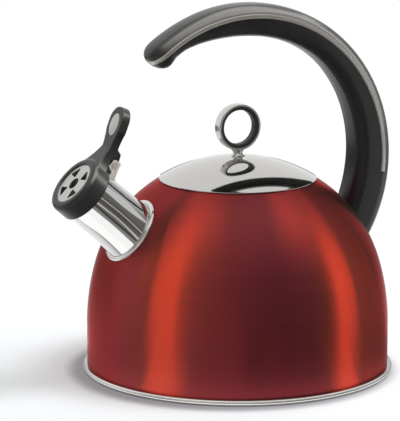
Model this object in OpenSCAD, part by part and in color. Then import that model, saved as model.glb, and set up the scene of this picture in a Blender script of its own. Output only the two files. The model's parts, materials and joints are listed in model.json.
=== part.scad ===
// Stovetop whistling kettle with a domed body, a slanted spout and an open C handle.
// The origin is the centre of the base on the hob. The spout points to -X and the handle stands at +X.
// The kettle is symmetric about the plane Y = 0. All sizes are millimetres and degrees.

/* [Body] */
// Outer radius of the body wall at its foot
body_r = 106.9; // [90:0.1:130]
// Height where the upright wall starts to curve inwards
wall_top_z = 33; // [25:0.5:50]
// Radius of the long curve above the upright wall
flank_r = 158; // [140:1:190]
// Angle that the long curve turns through
flank_angle = 15.8; // [13:0.1:19]
// Radius of the shoulder curve below the lid
shoulder_r = 101.7; // [90:0.1:115]
// Thickness of the body sheet
body_t = 0.8; // [0.6:0.1:1.2]
// Radius of the clear opening under the lid
mouth_r = 46; // [38:0.5:48]
// Width of the flat ledge that the lid stands on
ledge_w = 4.5; // [3:0.5:5]

/* [Base] */
// Reach of the rolled seam beyond the foot of the wall
seam_reach = 3.1; // [2.5:0.1:5]
// Radius of the rolled seam's bead
bead_r = 2; // [1.6:0.1:2.4]
// Radius of the heat spreading base
spreader_r = 88; // [70:0.5:90]
// Thickness of the aluminium spreader plate
spreader_t = 2.7; // [2:0.1:2.8]
// Thickness of the steel sheets of the base
base_t = 0.8; // [0.6:0.1:1]
// Thickness of the outer steel cap of the base
base_cap_t = 0.5; // [0.4:0.1:0.7]

/* [Lid] */
// Reach of the lid beyond the lip around its mouth
lid_reach = 5.2; // [3:0.1:9]
// Height of the lid's crown above its edge
lid_rise = 15.5; // [12:0.5:20]
// Thickness of the lid sheet
lid_t = 0.8; // [0.6:0.1:1.2]
// Gap between the lid's edge and the body
lid_gap = 0.3; // [0.2:0.1:0.5]
// Outer radius of the ring knob
knob_r = 16.5; // [14:0.5:20]
// Radial thickness of the ring knob's metal
knob_t = 1.7; // [1.4:0.1:2.5]
// Depth of the ring knob along Y
knob_depth = 8; // [6:0.5:12]
// Radial thickness of the ring knob's soft liner
liner_t = 2.7; // [2:0.1:3.5]
// Height of the knob's neck between the lid and the ring
neck_h = 4.3; // [3:0.1:8]
// Radius of the knob's neck
neck_r = 3.3; // [3:0.1:4.5]

/* [Spout] */
// Elevation of the spout's axis above the hob
spout_angle = 41.5; // [36:0.5:46]
// Place of the spout on the shoulder curve, as an angle above level
spout_seat_angle = 35.7; // [31:0.1:39]
// Length of the spout's axis outside the body
spout_len = 44.8; // [38:0.1:54]
// Outer radius of the spout at its mouth
spout_r = 19.6; // [16:0.1:21]
// Growth of the spout's radius for each millimetre towards the body
spout_taper = 0.01; // [0:0.005:0.03]
// Length of the flared foot of the spout
flare_len = 9; // [6:0.5:12]
// Growth of the spout's radius over its flared foot
flare = 1.1; // [0.5:0.1:1.5]
// Thickness of the spout sheet
spout_t = 0.8; // [0.6:0.1:1.2]
// Reach of the collar beyond the spout's radius
collar_reach = 4.7; // [3.5:0.1:7]
// Radius of the collar's bead
collar_bead_r = 2; // [1.5:0.1:2.5]

/* [Whistle cap] */
// Thickness of the cap's wall around the spout
cap_wall = 1.6; // [1.2:0.1:3]
// Distance from the spout's mouth to the front of the cap
cap_front = 10.3; // [9:0.1:13]
// Length of the cap's skirt around the spout
skirt_len = 4; // [2:0.1:6]
// Gap between the cap and the spout
cap_gap = 0.5; // [0.4:0.05:0.8]
// Radius of the steel face plate
face_r = 15.7; // [13:0.1:17]
// Depth of the face plate below the cap's front
face_depth = 1; // [0.5:0.1:2]
// Radius of the whistle hole in the face plate
whistle_hole_r = 4.4; // [2:0.1:5]
// Distance from the cap's axis to the side vents
vent_place = 10; // [9:0.1:11]
// Radius of the thumb lever's round end
lever_end_r = 10; // [8.5:0.1:12]
// Distance from the cap's axis to the centre of the lever's round end
lever_reach = 53.5; // [45:0.5:60]
// Half width of the lever at its waist
lever_waist = 7; // [6:0.1:8]
// Thickness of the lever
lever_t = 6.2; // [5:0.1:8]
// Lean of the lever out of the cap's plane
lever_lean = 20; // [14:0.5:24]
// Height of the hinge pin above the spout's surface
hinge_rise = 7.4; // [6.6:0.1:10]
// Distance from the spout's mouth back to the hinge pin
hinge_back = 4.5; // [4:0.1:6]
// Radius of the hinge pin
pin_r = 1.25; // [1:0.05:1.5]
// Running clearance around the hinge pin
pin_gap = 0.05; // [0.02:0.01:0.1]
// Thickness of the steel of the hinge bracket
bracket_t = 1; // [0.8:0.1:1.5]

/* [Handle] */
// Radius of the handle's parting line, seen from the side
grip_r = 106.3; // [95:0.1:125]
// Reach of the parting line behind the body wall
grip_overhang = 3.9; // [2:0.1:10]
// Height of the parting circle's centre above the lid's edge
grip_centre_rise = 10.4; // [5:0.1:20]
// Height of the outer shell over the parting line
crown_h = 8.1; // [7:0.1:10]
// Difference in radius between the parting line and the inside of the handle
palm_drop = 15.1; // [13:0.1:20]
// Offset of the inner circle's centre towards the spout
palm_shift_x = 4.1; // [2:0.1:6]
// Offset of the inner circle's centre upwards
palm_shift_z = 2; // [0:0.1:4]
// Half width of the handle along Y
grip_w = 13.5; // [12:0.1:15]
// Rounding of the handle's long edges
grip_edge_r = 8.6; // [6:0.1:9]
// Angle of the handle's free end around the parting circle
tip_angle = 127.5; // [115:0.5:132]
// Wall thickness of the handle shells
grip_t = 2.5; // [2:0.1:3]
// Width of the bright trim strip
trim_w = 3.2; // [2:0.1:4]
// Height of the trim strip above the handle's surface
trim_proud = 0.4; // [0.2:0.1:0.8]
// Angle where the trim strip ends at the back of the handle
trim_start_angle = -6.5; // [-12:0.5:10]
// Thickness of the steel strap inside the handle
strap_t = 3; // [2:0.1:4]
// Side gap between the steel strap and the shells' walls
strap_gap = 3; // [2:0.1:5]

/* [Hidden] */

$fn = 180;
far = 400;    // longer than the whole kettle, for cutting shapes

// --- body profile: an upright wall, a long flank arc and a shoulder arc, tangent to each other
base_z = base_cap_t + spreader_t + base_t;   // top of the bottom plate, where the wall stands
seam_r = body_r + seam_reach;                // outer radius of the rolled seam
seam_round = min(bead_r, base_z / 2);        // the bead is at most as high as the base
flank_c = [body_r - flank_r, wall_top_z];
join = flank_c + flank_r * [cos(flank_angle), sin(flank_angle)];
shoulder_c = join - shoulder_r * [cos(flank_angle), sin(flank_angle)];
arc_step = 0.01;                             // tiny step that keeps the ends of the two arcs apart
function shoulder_z(r, grow = 0) = shoulder_c[1] + sqrt(pow(shoulder_r + grow, 2) - pow(r - shoulder_c[0], 2));

// --- mouth and lid
lip_r = mouth_r + ledge_w;                   // inner radius of the upright lip around the ledge
lid_r = lip_r + lid_reach;                   // outer radius of the lid
ledge_drop = 3;                              // depth of the ledge below the lip's edge
ledge_z = shoulder_z(lip_r) - ledge_drop;
wall_cut_z = wall_top_z + 30;                // level plane between the body's wall and its shoulder
crown_cut_z = ledge_z - 8;                   // level plane between the shoulder and the crown around the mouth
skirt_gap = 0.7;                             // side gap between the lid's skirt and the lip
lid_skirt_r = lip_r - skirt_gap;
lid_sphere_r = (pow(lid_r, 2) + pow(lid_rise, 2)) / (2 * lid_rise);
// Depth of the lid's underside below its crown, at a radius
function lid_drop(r) = lid_sphere_r - sqrt(pow(lid_sphere_r - lid_t, 2) - pow(r, 2));
lid_top_z = lid_gap + max(shoulder_z(lid_r) + lid_drop(lid_r), shoulder_z(lip_r) + lid_drop(lip_r));
lid_centre_z = lid_top_z - lid_sphere_r;
lid_edge_z = lid_top_z - lid_rise;

// --- knob
ring_z = lid_top_z + neck_h + knob_r;
knob_round = 0.7;                            // rounding of the ring's edges
neck_fillet_r = 2.6;                         // hollow curve around the neck
neck_flare = 1.6;                            // growth of the neck at its foot and its head
neck_bite = 1.2;                             // depth of the neck inside the ring's metal
screw_r = 2;
screw_up = lid_top_z + neck_h - 0.6;         // top of the knob's screw inside the neck
washer_t = 0.8;
washer_r = 6;
screw_head_r = 3.8;
screw_head_t = 2.4;
washer_z = lid_top_z - lid_drop(washer_r) - washer_t;

// --- spout
seat = [-(shoulder_c[0] + shoulder_r * cos(spout_seat_angle)),
        shoulder_c[1] + shoulder_r * sin(spout_seat_angle)];
spout_tip = seat + spout_len * [-cos(spout_angle), sin(spout_angle)];
spout_inside = 30;                           // spout length inside the body, before the trim
knee_z = flare_len - spout_len;              // where the flared foot begins
knee_r = spout_r - spout_taper * knee_z;
root_z = -spout_len - flare_len;
root_r = knee_r + 2 * flare;
collar_r = spout_r + collar_reach;           // outer radius of the collar
collar_sag = shoulder_r - sqrt(pow(shoulder_r, 2) - pow(collar_r - collar_bead_r, 2));

// --- whistle cap, in the spout's own frame: X up, Z out of the mouth, origin at the mouth's centre
cap_r = spout_r + cap_gap + cap_wall;        // outer radius of the cap
cap_round = 3.4;                             // rounding of the cap's front edge
cap_back_round = 1.2;                        // rounding of the skirt's end
rest_gap = 0.2;                              // gap between the cap's web and the spout's mouth
face_t = 0.8;
face_z = cap_front - face_depth;             // front of the face plate
cup_r = min(face_r - 1.2, spout_r - spout_t - 1);   // outer radius of the whistle cup, clear of the spout
cup_t = 0.6;
cup_len = face_z - face_t + 5;               // from the face plate to 5 mm inside the spout
cup_hole_r = 3.2;
vent_corner_r = 1;
vent_side_r = 0.98;                          // a little less, so that the sides cross the corner circles
vent_in = 2.6;
vent_out = 1.7;
vent_half = 3.1;
lever_front_z = face_z - 5;                  // height of the lever's front where it leaves the cap
lever_foot = cap_r + 6.3;                    // where that height is measured
lever_waist_x = cap_r + 12;                  // where the lever is narrowest
foot_round = 26;                             // radius of the hollow sides of the lever's foot
inlay_r = 6;
inlay_half = 1.9;                            // half of the inlay's straight length
inlay_t = 0.6;
inlay_place = lever_reach - 3;

// --- hinge
hinge_up = spout_r + hinge_rise;             // height of the hinge pin above the spout's axis
ear_in = 5.3;                                // inner face of each ear of the bracket
lug_gap = 0.4;                               // side gap between the lugs and the ears
lug_r = 3.4;
lug_in = 2.5;                                // inner face of each lug, leaving room for the spring
ear_clear = 5.3;                             // radius kept free for the ears around the pin
spring_pocket_r = 3.2;                       // radius kept free for the spring
pin_head_r = 2.2;
pin_head_t = 0.7;
wire_r = 0.4;
coil_r = 2.1;                                // mean radius of the spring
coil_turns = 4.25;
coil_steps = 16;                             // rings for each turn
coil_pitch = 0.9;

// --- handle
grip_c = [body_r + grip_overhang - grip_r, shoulder_z(lid_r) + grip_centre_rise];
palm_r = grip_r - palm_drop;                 // radius of the circle along the inside of the handle
palm_c = grip_c + [-palm_shift_x, palm_shift_z];
crown_r = grip_r + crown_h;
foot_angle = -45;                            // the shells start inside the body and are trimmed by it
// Distance from the parting circle's centre to the inner circle, at an angle
function palm_at(a) =
    let (d = palm_c - grip_c, s = d * [cos(a), sin(a)])
    s + sqrt(s * s - d * d + palm_r * palm_r);
tip_half = (crown_r - palm_at(tip_angle)) / 2;
tip_c = grip_c + (palm_at(tip_angle) + tip_half) * [cos(tip_angle), sin(tip_angle)];
tip_round = tip_half + 0.5;                  // rounding of the free end, seen from the side
tip_square = 3;                              // how far the round corners stand clear of the end's middle
strap_in = grip_r - strap_t / 2;
strap_out = grip_r + strap_t / 2;
strap_w = grip_w - grip_t - strap_gap;       // half width of the strap
strap_start = -24;
strap_end = tip_angle - 5.5;                 // the strap ends inside the free end
tongue_t = 3;
tongue_end = 10;
seat_drop = 0.1;                             // how far a flat seat stays off a curved strap
rivet_angles = [-15, 2];
rivet_r = 2;
rivet_head_r = 3.4;
rivet_head_t = 1.4;
shell_screw_angles = [35, 75, tip_angle - 15.5];
shell_screw_r = 1.5;
shell_screw_gap = 0.2;
shell_head_r = 2.9;
shell_head_t = 1.8;
plug_gap = 0.05;                             // side gap around the plugs that cover the screws
shell_boss_r = 4;
shell_seat = 4.5;                            // depth of the screw's seat below the palm surface
shell_grip = 3.5;                             // length of the screw in the outer shell's boss
pad_t = 2.5;
pad_inset = 4;

// ---------- helpers ----------

// A rectangle with all four corners rounded
module soft_rect(x0, x1, y0, y1, r) {
    translate([x0 + r, y0]) square([x1 - x0 - 2 * r, y1 - y0]);
    translate([x0, y0 + r]) square([x1 - x0, y1 - y0 - 2 * r]);
    for (x = [x0 + r, x1 - r], y = [y0 + r, y1 - r]) translate([x, y]) circle(r);
}

// The filled outline of the body, grown outwards, from the foot of the wall to the crown
module body_outline(grow = 0) {
    translate([0, base_z]) square([body_r + grow, wall_top_z - base_z]);
    intersection() {
        translate(flank_c) circle(flank_r + grow);
        translate([0, wall_top_z]) square([far, join[1] - wall_top_z + grow * sin(flank_angle)]);
    }
    intersection() {
        translate(shoulder_c) circle(shoulder_r + grow + arc_step);
        translate([0, join[1] + grow * sin(flank_angle)]) square([far, far]);
    }
}

module body_solid(grow = 0) {
    rotate_extrude() body_outline(grow);
}

// Moves a shape into the spout's frame
module at_spout() {
    translate([spout_tip[0], 0, spout_tip[1]]) rotate([0, spout_angle - 90, 0]) children();
}

// The spout's outer surface as a solid, grown outwards
module spout_solid(grow = 0) {
    at_spout() rotate_extrude()
        polygon([[0, -spout_len - spout_inside], [root_r + grow, -spout_len - spout_inside],
                 [root_r + grow, root_z], [knee_r + grow, knee_z], [spout_r + grow, 0], [0, 0]]);
}

// Turns a section drawn as (radius, Y) around an axis along Y
module around_y(c, a0 = 0, a1 = 360) {
    translate([c[0], 0, c[1]]) rotate([90, 0, 0]) rotate([0, 0, a0])
        rotate_extrude(angle = a1 - a0) children();
}

// Moves a shape so that its Z axis runs outwards from the parting circle's centre
module radial(a) {
    translate([grip_c[0], 0, grip_c[1]]) rotate([0, 90 - a, 0]) children();
}

// ---------- body and base ----------

// The body's sheet between two heights, with its lip, its ledge and the hole behind the spout
module body_sheet(low, high) color("firebrick")
    difference() {
        rotate_extrude() intersection() {
            union() {
                difference() {
                    body_outline();
                    body_outline(-body_t);
                    translate([0, base_z]) square([body_r - body_t, wall_top_z - base_z]);
                    translate([0, join[1]]) square([lip_r, far]);
                }
                translate([lip_r, ledge_z - body_t])
                    square([body_t, shoulder_z(lip_r + body_t) - ledge_z + body_t / 2]);
                translate([mouth_r, ledge_z - body_t]) square([ledge_w + body_t / 2, body_t]);
            }
            translate([0, low]) square([far, high - low]);
        }
        spout_solid();
    }

module body_wall() body_sheet(base_z, wall_cut_z);

module body_shoulder() body_sheet(wall_cut_z, crown_cut_z);

module body_crown() body_sheet(crown_cut_z, far);

module bottom_plate() color("silver")
    rotate_extrude() {
        translate([0, base_z - base_t]) square([seam_r - seam_round, base_t]);
        translate([seam_r - seam_round, seam_round]) circle(seam_round);
        // a bead lower than the base is drawn out upwards to the plate
        if (base_z - 2 * seam_round > 0.01) {
            translate([seam_r - seam_round, base_z - seam_round]) circle(seam_round);
            translate([seam_r - 2 * seam_round, seam_round]) square([2 * seam_round, base_z - 2 * seam_round]);
        }
    }

module heat_spreader() color("lightgray")
    translate([0, 0, base_cap_t]) cylinder(r = spreader_r - base_cap_t, h = spreader_t);

module base_cap() color("gainsboro")
    difference() {
        cylinder(r = spreader_r, h = base_cap_t + spreader_t);
        translate([0, 0, base_cap_t]) cylinder(r = spreader_r - base_cap_t, h = far);
    }

// ---------- lid and knob ----------

module lid_dome() color("silver")
    difference() {
        rotate_extrude() intersection() {
            difference() {
                translate([0, lid_centre_z]) circle(lid_sphere_r);
                translate([0, lid_centre_z]) circle(lid_sphere_r - lid_t);
            }
            translate([0, lid_edge_z - lid_t]) square([lid_r, far]);
        }
        cylinder(r = screw_r + 0.2, h = far);
    }

module lid_skirt() color("gainsboro")
    rotate_extrude() intersection() {
        translate([lid_skirt_r - base_t, ledge_z]) square([base_t, far]);
        translate([0, lid_centre_z]) circle(lid_sphere_r - lid_t);
    }

module neck_profile()
    difference() {
        translate([0, lid_top_z - 1]) square([neck_r + neck_flare, neck_h + neck_bite + 1]);
        translate([neck_r + neck_fillet_r, lid_top_z + neck_h / 2]) circle(neck_fillet_r);
        translate([0, lid_centre_z]) circle(lid_sphere_r);
    }

module knob_ring() color("silver")
    difference() {
        union() {
            around_y([0, ring_z])
                soft_rect(knob_r - knob_t, knob_r, -knob_depth / 2, knob_depth / 2, knob_round);
            intersection() {
                rotate_extrude() neck_profile();
                translate([-far / 2, -knob_depth / 2 + knob_round / 2, 0])
                    cube([far, knob_depth - knob_round, ring_z]);
            }
        }
        cylinder(r = screw_r, h = screw_up);
    }

module knob_liner() color("dimgray")
    around_y([0, ring_z])
        soft_rect(knob_r - knob_t - liner_t, knob_r - knob_t,
                  -knob_depth / 2 + 0.3, knob_depth / 2 - 0.3, 1);

module knob_washer() color("gainsboro")
    translate([0, 0, washer_z]) difference() {
        cylinder(r = washer_r, h = washer_t);
        translate([0, 0, -1]) cylinder(r = screw_r + 0.2, h = washer_t + 2);
    }

module knob_screw() color("gray") {
    translate([0, 0, washer_z - screw_head_t]) cylinder(r = screw_head_r, h = screw_head_t);
    translate([0, 0, washer_z]) cylinder(r = screw_r, h = screw_up - washer_z);
}

// ---------- spout ----------

module spout_tube() color("gainsboro")
    difference() {
        spout_solid();
        spout_solid(-spout_t);
        at_spout() cylinder(r = spout_r - spout_t, h = 1, center = true);
        body_solid(-body_t);
    }

module spout_collar() color("lightgray")
    // drawn finely, because it is a thin ring between two curved surfaces
    difference($fn = 360) {
        translate([seat[0], 0, seat[1]]) rotate([0, spout_seat_angle - 90, 0])
            rotate_extrude() {
                translate([collar_r - collar_bead_r, -collar_sag]) circle(collar_bead_r);
                // filled in as far as the spout
                translate([spout_r, -collar_sag - collar_bead_r])
                    square([collar_r - collar_bead_r - spout_r, 2 * collar_bead_r]);
            }
        body_solid();
        spout_solid();
    }

// ---------- whistle cap and hinge ----------

// The side outline of one bracket ear, drawn as (X up, Z out)
module ear_outline()
    polygon([[spout_r - 3, -hinge_back - 7], [spout_r - 3, -skirt_len - 0.6], [cap_r + 1, -skirt_len - 0.6],
             [cap_r + 1.6, -hinge_back + 3.4], [hinge_up + 2.6, -hinge_back + 3],
             [hinge_up + 3.6, -hinge_back + 1], [hinge_up + 3.6, -hinge_back - 3.2]]);

module hinge_bracket() color("gainsboro")
    difference() {
        at_spout() union() {
            for (side = [-1, 1])
                translate([0, side * (ear_in + bracket_t / 2), 0]) rotate([90, 0, 0])
                    linear_extrude(height = bracket_t, center = true) ear_outline();
            // the saddle that joins the ears, lying on the spout
            intersection() {
                translate([0, 0, -hinge_back - 7])
                    cylinder(r = spout_r + spout_taper * hinge_back + bracket_t, h = 6.4);
                translate([0, -ear_in - bracket_t, -far / 2]) cube([far, 2 * (ear_in + bracket_t), far]);
            }
        }
        spout_solid();
        at_spout() translate([hinge_up, 0, -hinge_back]) rotate([90, 0, 0])
            cylinder(r = pin_r, h = far, center = true);
    }

module hinge_pin() color("silver")
    at_spout() translate([hinge_up, 0, -hinge_back]) rotate([90, 0, 0]) {
        cylinder(r = pin_r, h = 2 * (ear_in + bracket_t), center = true);
        for (side = [-1, 1]) translate([0, 0, side * (ear_in + bracket_t + pin_head_t / 2)])
            cylinder(r = pin_head_r, h = pin_head_t, center = true);
    }

// The coil's centre line around the pin, with a leg under the lever and a leg down to the saddle
function coil_point(i) =
    let (a = 90 + 360 * i / coil_steps, y = coil_pitch * (i / coil_steps - coil_turns / 2))
    [coil_r * cos(a), y, coil_r * sin(a)];
function coil_path() =
    let (n = coil_turns * coil_steps, last = coil_point(n))
    concat([coil_point(0) + [5.5, 0, 0.3]], [for (i = [0:n]) coil_point(i)],
           [[spout_r + bracket_t + 0.05 - hinge_up, last[1], -hinge_back]]);

// A round wire along a path
module wire(path, r, sides = 8) {
    n = len(path);
    function unit(v) = v / norm(v);
    function heading(i) = unit(path[min(i + 1, n - 1)] - path[max(i - 1, 0)]);
    points = [for (i = [0:n - 1]) let (t = heading(i), u = unit(cross(t, [0, 1, 0.01])), v = cross(t, u))
              for (k = [0:sides - 1]) path[i] + r * (cos(360 * k / sides) * u + sin(360 * k / sides) * v)];
    faces = concat(
        [[for (k = [0:sides - 1]) k]],
        [for (i = [0:n - 2], k = [0:sides - 1])
            [i * sides + k, (i + 1) * sides + k, (i + 1) * sides + (k + 1) % sides, i * sides + (k + 1) % sides]],
        [[for (k = [sides - 1:-1:0]) (n - 1) * sides + k]]);
    polyhedron(points, faces);
}

module torsion_spring() color("dimgray")
    at_spout() translate([hinge_up, 0, -hinge_back]) wire(coil_path(), wire_r);

// Moves a shape into the lever's own frame, with its front face at Z = 0
module at_lever() {
    translate([lever_foot, 0, lever_front_z]) rotate([0, -lever_lean, 0])
        translate([-lever_foot, 0, 0]) children();
}

module lever_outline() {
    translate([lever_reach, 0]) circle(lever_end_r);
    difference() {
        translate([cap_r - 6, -lever_end_r]) square([lever_reach - cap_r + 6, 2 * lever_end_r]);
        for (side = [-1, 1]) translate([lever_waist_x, side * (lever_waist + 30)]) circle(30);
    }
}

// The foot of the lever, which spreads from its waist over the side of the cap
module lever_spread() {
    foot_in = cap_r - 9.5;
    foot_w = 14;
    intersection() {
        linear_extrude(height = far, center = true) difference() {
            translate([foot_in, -foot_w]) square([lever_waist_x - foot_in, 2 * foot_w]);
            for (side = [-1, 1]) translate([lever_waist_x, side * (lever_waist + foot_round)]) circle(foot_round);
        }
        rotate([90, 0, 0]) linear_extrude(height = far, center = true)
            polygon([[foot_in - 1, 0], [foot_in - 1, cap_front - 2], [cap_r - 2.2, cap_front - 2],
                     [lever_waist_x + 1, lever_front_z + 2.3], [lever_waist_x + 1, 0]]);
    }
}

module inlay_outline() {
    square([2 * inlay_half, 2 * inlay_r], center = true);
    for (side = [-1, 1]) translate([side * inlay_half, 0]) circle(inlay_r);
}

module cap_housing() color("dimgray")
    at_spout() difference() {
        union() {
            // the round cap, with a soft front edge
            rotate_extrude() {
                square([cap_r, cap_front - cap_round]);
                square([cap_r - cap_round, cap_front]);
                translate([cap_r - cap_round, cap_front - cap_round]) circle(cap_round);
                translate([0, -skirt_len]) square([cap_r - cap_back_round, skirt_len]);
                translate([0, -skirt_len + cap_back_round]) square([cap_r, skirt_len]);
                translate([cap_r - cap_back_round, -skirt_len + cap_back_round]) circle(cap_back_round);
            }
            // the thumb lever
            at_lever() translate([0, 0, -lever_t]) linear_extrude(height = lever_t) lever_outline();
            lever_spread();
            // two lugs that carry the lever on the pin
            for (side = [-1, 1])
                translate([0, side * (lug_in + ear_in - lug_gap) / 2, 0]) rotate([90, 0, 0])
                    linear_extrude(height = ear_in - lug_gap - lug_in, center = true) {
                        translate([hinge_up, -hinge_back]) circle(lug_r);
                        polygon([[hinge_up - lug_r, -hinge_back], [hinge_up - lug_r, 1], [hinge_up + 11, 3],
                                 [hinge_up + 8.5, -hinge_back + 0.2], [hinge_up, -hinge_back - lug_r]]);
                    }
        }
        // room for the bracket: behind the skirt, around the ears and around the spring
        translate([0, -far / 2, -far - skirt_len]) cube([cap_r + 1.2, far, far]);
        for (side = [-1, 1])
            translate([hinge_up, side * (ear_in - lug_gap + far / 2), -hinge_back]) rotate([90, 0, 0])
                cylinder(r = ear_clear, h = far, center = true);
        translate([hinge_up, 0, -hinge_back]) rotate([90, 0, 0])
            cylinder(r = spring_pocket_r, h = 2 * lug_in, center = true);
        translate([0, 0, face_z - face_t]) cylinder(r = face_r, h = far);
        translate([0, 0, -far / 2]) cylinder(r = cup_r, h = far);
        translate([0, 0, rest_gap - far]) cylinder(r = spout_r + cap_gap, h = far);
        translate([hinge_up, 0, -hinge_back]) rotate([90, 0, 0])
            cylinder(r = pin_r + pin_gap, h = far, center = true);
        at_lever() translate([inlay_place, 0, -inlay_t]) linear_extrude(height = far) inlay_outline();
    }

// A triangle with round corners that points at the whistle hole
module vent_outline() {
    slope = atan2(vent_half, vent_in + vent_out);
    tip = [vent_place - vent_in, 0];
    for (side = [-1, 1]) {
        corner = [vent_place + vent_out, side * vent_half];
        lean = vent_side_r * [-sin(slope), side * cos(slope)];
        translate(corner) circle(vent_corner_r);
        polygon([tip, tip + lean, corner + lean, corner, corner + [vent_side_r, 0],
                 [corner[0] + vent_side_r, 0]]);
    }
    translate(tip) circle(vent_corner_r);
}

module face_plate() color("silver")
    at_spout() translate([0, 0, face_z - face_t]) linear_extrude(height = face_t) difference() {
        circle(face_r);
        circle(whistle_hole_r);
        for (a = [45:90:315]) rotate(a) vent_outline();
    }

module whistle_cup() color("silver")
    at_spout() translate([0, 0, face_z - face_t - cup_len]) difference() {
        cylinder(r = cup_r, h = cup_len);
        translate([0, 0, cup_t]) cylinder(r = cup_r - cup_t, h = far);
        cylinder(r = cup_hole_r, h = 3, center = true);
    }

module lever_inlay() color("lightgray")
    at_spout() at_lever() translate([inlay_place, 0, -inlay_t]) linear_extrude(height = inlay_t) inlay_outline();

// ---------- handle ----------

// The solid form of the whole handle, shrunk by an inset; the body trims its foot
module handle_form(inset = 0) {
    w = grip_w - inset;
    edge = grip_edge_r - inset;
    intersection() {
        // round on the outside
        around_y(grip_c) {
            translate([0, -w]) square([crown_r - inset - edge, 2 * w]);
            translate([0, -w + edge]) square([crown_r - inset, 2 * (w - edge)]);
            for (side = [-1, 1]) translate([crown_r - inset - edge, side * (w - edge)]) circle(edge);
        }
        // round on the inside
        around_y(palm_c) {
            translate([palm_r + inset + edge, -w]) square([far / 2, 2 * w]);
            translate([palm_r + inset, -w + edge]) square([far / 2, 2 * (w - edge)]);
            for (side = [-1, 1]) translate([palm_r + inset + edge, side * (w - edge)]) circle(edge);
        }
        // from the foot to the free end, seen from the side
        rotate([90, 0, 0]) linear_extrude(height = 2 * w + 2, center = true) {
            polygon([grip_c, for (a = [foot_angle, 0, 60, tip_angle]) grip_c + far * [cos(a), sin(a)]]);
            translate(tip_c) circle(tip_round - inset);
        }
        // round corners at the free end, seen from above
        translate([tip_c[0], 0, tip_c[1]]) rotate([0, 90 - tip_angle, 0])
            translate([grip_w - tip_round - tip_square, 0, -far]) {
                cylinder(r = w, h = 2 * far);
                translate([0, -w, 0]) cube([far, 2 * w, 2 * far]);
            }
    }
}

// Everything between two radii of the parting circle
module grip_band(r0, r1) {
    around_y(grip_c) translate([r0, -grip_w - 5]) square([r1 - r0, 2 * grip_w + 10]);
}

module handle_trim() color("silver")
    intersection() {
        difference() {
            handle_form(-trim_proud);
            handle_form(1.2);
        }
        around_y(grip_c, trim_start_angle, tip_angle + 20)
            translate([grip_r - trim_w / 2, -grip_w - 5]) square([trim_w, 2 * grip_w + 10]);
    }

module shell_walls() difference() {
    handle_form();
    handle_form(grip_t);
    body_solid();
}

module handle_outer_shell() color("dimgray")
    difference() {
        union() {
            intersection() {
                shell_walls();
                grip_band(grip_r, crown_r + 5);
            }
            for (a = shell_screw_angles) intersection() {
                radial(a) translate([0, 0, strap_out]) cylinder(r = shell_boss_r, h = 2 * crown_h);
                handle_form(grip_t / 2);
            }
        }
        handle_trim();
        for (a = shell_screw_angles) radial(a) cylinder(r = shell_screw_r, h = strap_out + shell_grip);
    }

module handle_inner_shell() color("dimgray")
    difference() {
        union() {
            intersection() {
                shell_walls();
                grip_band(palm_r - 30, grip_r);
            }
            for (a = shell_screw_angles) intersection() {
                radial(a) translate([0, 0, palm_at(a)])
                    cylinder(r = shell_boss_r, h = strap_in - seat_drop - palm_at(a));
                handle_form(grip_t / 2);
            }
        }
        handle_trim();
        for (a = shell_screw_angles) radial(a) {
            cylinder(r = shell_screw_r + shell_screw_gap, h = grip_r);
            cylinder(r = shell_head_r + shell_screw_gap, h = palm_at(a) + shell_seat);
        }
    }

module handle_screws() color("gray")
    for (a = shell_screw_angles) radial(a) {
        translate([0, 0, palm_at(a) + shell_seat - shell_head_t]) cylinder(r = shell_head_r, h = shell_head_t);
        translate([0, 0, palm_at(a) + shell_seat])
            cylinder(r = shell_screw_r, h = strap_out + shell_grip - palm_at(a) - shell_seat);
    }

// Plugs over the screws, flush with the palm
module screw_plugs() color("dimgray")
    for (a = shell_screw_angles) intersection() {
        radial(a) cylinder(r = shell_head_r + shell_screw_gap - plug_gap, h = palm_at(a) + shell_seat - shell_head_t);
        handle_form();
    }

module handle_strap() color("gray")
    difference() {
        around_y(grip_c, strap_start, strap_end)
            translate([strap_in, -strap_w]) square([strap_t, 2 * strap_w]);
        for (a = shell_screw_angles) radial(a) cylinder(r = shell_screw_r + shell_screw_gap, h = far);
        for (a = rivet_angles) radial(a) cylinder(r = rivet_r, h = far);
    }

module handle_bracket() color("gray")
    difference() {
        union() {
            around_y(grip_c, foot_angle, tongue_end)
                translate([strap_in - tongue_t, -strap_w]) square([tongue_t, 2 * strap_w]);
            intersection() {
                body_solid(pad_t);
                handle_form(pad_inset);
            }
        }
        body_solid();
        around_y(grip_c, strap_start - 1, tongue_end)
            translate([strap_in, -strap_w - 1]) square([3 * crown_h, 2 * strap_w + 2]);
        for (a = rivet_angles) radial(a) cylinder(r = rivet_r, h = far);
    }

module strap_rivets() color("silver")
    for (a = rivet_angles) radial(a) {
        translate([0, 0, strap_in - tongue_t - seat_drop - rivet_head_t])
            cylinder(r = rivet_head_r, h = rivet_head_t);
        translate([0, 0, strap_in - tongue_t - seat_drop])
            cylinder(r = rivet_r, h = strap_t + tongue_t + seat_drop);
        translate([0, 0, strap_out]) cylinder(r = rivet_head_r, h = rivet_head_t);
    }

body_wall();
body_shoulder();
body_crown();
bottom_plate();
heat_spreader();
base_cap();
spout_tube();
spout_collar();
hinge_bracket();
hinge_pin();
torsion_spring();
cap_housing();
face_plate();
whistle_cup();
lever_inlay();
lid_dome();
lid_skirt();
knob_ring();
knob_liner();
knob_screw();
knob_washer();
handle_bracket();
handle_strap();
strap_rivets();
handle_outer_shell();
handle_inner_shell();
handle_trim();
handle_screws();
screw_plugs();
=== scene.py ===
"""A stovetop whistling kettle: looks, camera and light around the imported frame.

Sizes are millimetres in the kettle's own frame and become metres when a mesh is made. The origin is the centre of
the base on the hob, +Z is up, the spout points to -X and the handle stands at +X.
"""

import json
from math import asin, atan2, cos, degrees, pi, radians, sin, sqrt

import bmesh
import bpy
from mathutils import Matrix, Vector


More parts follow.
